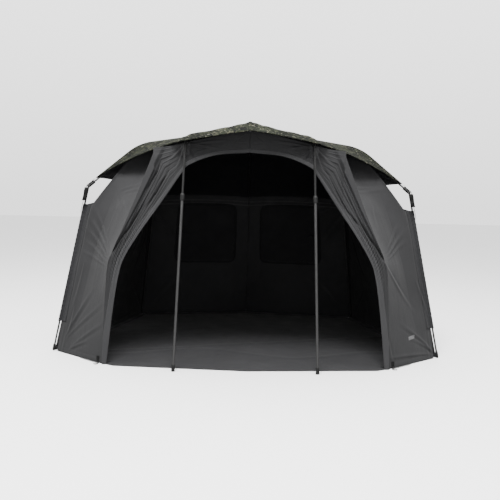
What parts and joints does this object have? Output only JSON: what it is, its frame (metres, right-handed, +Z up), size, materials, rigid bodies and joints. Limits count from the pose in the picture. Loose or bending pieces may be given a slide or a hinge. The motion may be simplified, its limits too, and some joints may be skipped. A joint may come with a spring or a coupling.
{
  "type": "fishing brolly shelter",
  "caption": "Pitched one-man fishing brolly: eight-rib folding frame with hinged legs, telescopic storm poles, camo roof, dark walls and wings, arched doorway and groundsheet.",
  "frame": {"origin": "on the ground under the middle of the footprint, where the groundsheet rests", "axes": "+X across the shelter, to the right as seen from in front of the doorway; +Y from the doorway to the rear wall; +Z up"},
  "size_m": [2.603, 2.0893, 1.555],
  "materials": {
    "camo_cloth": "matt coated polyester, printed",
    "dark_cloth": "matt coated polyester",
    "groundsheet": "heavy coated cloth",
    "webbing": "woven",
    "moulding": "fine grain",
    "frame_tube": "satin black",
    "pole_tube": "grey anodised",
    "steel": "plated"
  },
  "bodies": {
    "shelter": {"hub_block": "moulding", "canopy": "camo_cloth", "infill_panel": "dark_cloth", "rear_wall": "dark_cloth", "groundsheet": "groundsheet", "side_wall_left": "dark_cloth", "side_wall_right": "dark_cloth", "wing_left": "dark_cloth", "wing_right": "dark_cloth", "window_cover_left": "dark_cloth", "window_cover_right": "dark_cloth"},
    "rib_side_left": {"rib_side_left": "frame_tube", "knuckle_side_left": "moulding", "knuckle_pin_side_left": "steel", "eave_strap_left": "webbing", "buckle_socket_left": "moulding"},
    "rib_side_right": {"rib_side_right": "frame_tube", "knuckle_side_right": "moulding", "knuckle_pin_side_right": "steel", "eave_strap_right": "webbing", "buckle_socket_right": "moulding"},
    "rib_rear_left": {"rib_rear_left": "frame_tube", "knuckle_rear_left": "moulding", "knuckle_pin_rear_left": "steel"},
    "rib_rear_right": {"rib_rear_right": "frame_tube", "knuckle_rear_right": "moulding", "knuckle_pin_rear_right": "steel"},
    "rib_front_left": {"rib_front_left": "frame_tube", "pole_socket_left": "moulding"},
    "rib_front_right": {"rib_front_right": "frame_tube", "pole_socket_right": "moulding"},
    "rib_front_centre": {"rib_front_centre": "frame_tube"},
    "rib_rear_centre": {"rib_rear_centre": "frame_tube"},
    "leg_side_left": {"leg_side_left": "frame_tube", "leg_foot_side_left": "moulding"},
    "leg_side_right": {"leg_side_right": "frame_tube", "leg_foot_side_right": "moulding"},
    "leg_rear_left": {"leg_rear_left": "frame_tube", "leg_foot_rear_left": "moulding"},
    "leg_rear_right": {"leg_rear_right": "frame_tube", "leg_foot_rear_right": "moulding"},
    "pole_upper_left": {"pole_head_left": "moulding", "pole_upper_left": "pole_tube"},
    "pole_lower_left": {"pole_lower_left": "pole_tube", "pole_foot_left": "moulding"},
    "pole_collar_left": {"pole_collar_left": "moulding"},
    "buckle_plug_left": {"buckle_plug_left": "moulding"},
    "pole_upper_right": {"pole_head_right": "moulding", "pole_upper_right": "pole_tube"},
    "pole_lower_right": {"pole_lower_right": "pole_tube", "pole_foot_right": "moulding"},
    "pole_collar_right": {"pole_collar_right": "moulding"},
    "buckle_plug_right": {"buckle_plug_right": "moulding"},
    "hub_lock": {"hub_lock": "moulding"},
    "peg_front_left": {"peg_front_left": "steel"},
    "peg_side_left": {"peg_side_left": "steel"},
    "peg_front_right": {"peg_front_right": "steel"},
    "peg_side_right": {"peg_side_right": "steel"}
  },
  "joints": [
    {"name": "frame_fold", "type": "hinge", "parent": "shelter", "child": "rib_side_left", "pos_m": [-0.03992, -0.16305, 1.53], "axis": [0.3107, -0.9505, 0], "range_deg": [0, 53.83], "deforming": ["canopy", "infill_panel", "rear_wall", "groundsheet", "side_wall_left", "side_wall_right", "wing_left", "wing_right", "window_cover_left", "window_cover_right"]},
    {"name": "rib_fold_side_right", "type": "hinge", "parent": "shelter", "child": "rib_side_right", "pos_m": [0.03992, -0.16305, 1.53], "axis": [0.3107, 0.9505, 0], "range_deg": [0, 53.85]},
    {"name": "rib_fold_rear_left", "type": "hinge", "parent": "shelter", "child": "rib_rear_left", "pos_m": [-0.02991, -0.12051, 1.53], "axis": [-0.7022, -0.712, 0], "range_deg": [0, 52.23]},
    {"name": "rib_fold_rear_right", "type": "hinge", "parent": "shelter", "child": "rib_rear_right", "pos_m": [0.02991, -0.12051, 1.53], "axis": [-0.7022, 0.712, 0], "range_deg": [0, 52.23]},
    {"name": "rib_fold_front_left", "type": "hinge", "parent": "shelter", "child": "rib_front_left", "pos_m": [-0.01702, -0.1884, 1.53], "axis": [0.9143, -0.4051, 0], "range_deg": [0, 69.93]},
    {"name": "rib_fold_front_right", "type": "hinge", "parent": "shelter", "child": "rib_front_right", "pos_m": [0.01702, -0.1884, 1.53], "axis": [0.9143, 0.4051, 0], "range_deg": [0, 69.93]},
    {"name": "rib_fold_front_centre", "type": "hinge", "parent": "shelter", "child": "rib_front_centre", "pos_m": [0, -0.192, 1.53], "axis": [1, 0, 0], "range_deg": [0, 73.27]},
    {"name": "rib_fold_rear_centre", "type": "hinge", "parent": "shelter", "child": "rib_rear_centre", "pos_m": [0, -0.108, 1.53], "axis": [-1, 0, 0], "range_deg": [0, 52.88]},
    {"name": "leg_fold_side_left", "type": "hinge", "parent": "rib_side_left", "child": "leg_side_left", "pos_m": [-1.07587, -0.48271, 1.107], "axis": [0.3107, -0.9505, 0], "range_deg": [0, 121.81]},
    {"name": "leg_fold_side_right", "type": "hinge", "parent": "rib_side_right", "child": "leg_side_right", "pos_m": [1.07587, -0.48271, 1.107], "axis": [0.3107, 0.9505, 0], "range_deg": [0, 132.11]},
    {"name": "leg_fold_rear_left", "type": "hinge", "parent": "rib_rear_left", "child": "leg_rear_left", "pos_m": [-0.80833, 0.6724, 1.06], "axis": [-0.7022, -0.712, 0], "range_deg": [0, 118.61]},
    {"name": "leg_fold_rear_right", "type": "hinge", "parent": "rib_rear_right", "child": "leg_rear_right", "pos_m": [0.80833, 0.6724, 1.06], "axis": [-0.7022, 0.712, 0], "range_deg": [0, 113.01]},
    {"name": "pole_swing_left", "type": "hinge", "parent": "rib_front_left", "child": "pole_upper_left", "pos_m": [-0.37678, -1.00026, 1.351], "axis": [-0.9143, 0.4051, 0], "range_deg": [0, 69.93]},
    {"name": "pole_telescope_left", "type": "slide", "parent": "pole_upper_left", "child": "pole_lower_left", "axis": [0.0423, -0.0002, 0.9991], "range_m": [0, 0.22]},
    {"name": "pole_collar_twist_left", "type": "hinge", "parent": "pole_lower_left", "child": "pole_collar_left", "pos_m": [-0.38957, -1.0002, 1.04906], "axis": [0.0423, -0.0002, 0.9991], "range_deg": [0, 60]},
    {"name": "buckle_release_left", "type": "slide", "parent": "rib_side_left", "child": "buckle_plug_left", "axis": [-0.1933, -0.0632, -0.9791], "range_m": [0, 0.028]},
    {"name": "pole_swing_right", "type": "hinge", "parent": "rib_front_right", "child": "pole_upper_right", "pos_m": [0.37678, -1.00026, 1.351], "axis": [-0.9143, -0.4051, 0], "range_deg": [0, 69.93]},
    {"name": "pole_telescope_right", "type": "slide", "parent": "pole_upper_right", "child": "pole_lower_right", "axis": [-0.0423, -0.0002, 0.9991], "range_m": [0, 0.22]},
    {"name": "pole_collar_twist_right", "type": "hinge", "parent": "pole_lower_right", "child": "pole_collar_right", "pos_m": [0.38957, -1.0002, 1.04906], "axis": [-0.0423, -0.0002, 0.9991], "range_deg": [0, 60]},
    {"name": "buckle_release_right", "type": "slide", "parent": "rib_side_right", "child": "buckle_plug_right", "axis": [0.1933, -0.0632, -0.9791], "range_m": [0, 0.028]},
    {"name": "hub_lock_press", "type": "slide", "parent": "shelter", "child": "hub_lock", "axis": [0, 0, 1], "range_m": [0, 0.012]},
    {"name": "peg_draw_front_left", "type": "slide", "parent": "shelter", "child": "peg_front_left", "axis": [0.771, -0.6369, 0], "range_m": [0, 0.15]},
    {"name": "peg_draw_side_left", "type": "slide", "parent": "shelter", "child": "peg_side_left", "axis": [0.2378, 0.9713, 0], "range_m": [0, 0.15]},
    {"name": "peg_draw_front_right", "type": "slide", "parent": "shelter", "child": "peg_front_right", "axis": [-0.771, -0.6369, 0], "range_m": [0, 0.15]},
    {"name": "peg_draw_side_right", "type": "slide", "parent": "shelter", "child": "peg_side_right", "axis": [-0.2378, 0.9713, 0], "range_m": [0, 0.15]}
  ],
  "couplings": [
    {"joint": "rib_fold_side_right", "follows": "frame_fold", "ratio": 1.0001},
    {"joint": "rib_fold_rear_left", "follows": "frame_fold", "ratio": 0.97008},
    {"joint": "rib_fold_rear_right", "follows": "frame_fold", "ratio": 0.97008},
    {"joint": "rib_fold_front_left", "follows": "frame_fold", "ratio": 1.2987},
    {"joint": "rib_fold_front_right", "follows": "frame_fold", "ratio": 1.2987},
    {"joint": "rib_fold_front_centre", "follows": "frame_fold", "ratio": 1.3609},
    {"joint": "rib_fold_rear_centre", "follows": "frame_fold", "ratio": 0.98217},
    {"joint": "leg_fold_side_left", "follows": "frame_fold", "ratio": 2.2627},
    {"joint": "leg_fold_side_right", "follows": "frame_fold", "ratio": 2.454},
    {"joint": "leg_fold_rear_left", "follows": "frame_fold", "ratio": 2.2032},
    {"joint": "leg_fold_rear_right", "follows": "frame_fold", "ratio": 2.0992},
    {"joint": "pole_swing_left", "follows": "frame_fold", "ratio": 1.2987},
    {"joint": "pole_swing_right", "follows": "frame_fold", "ratio": 1.2987}
  ]
}
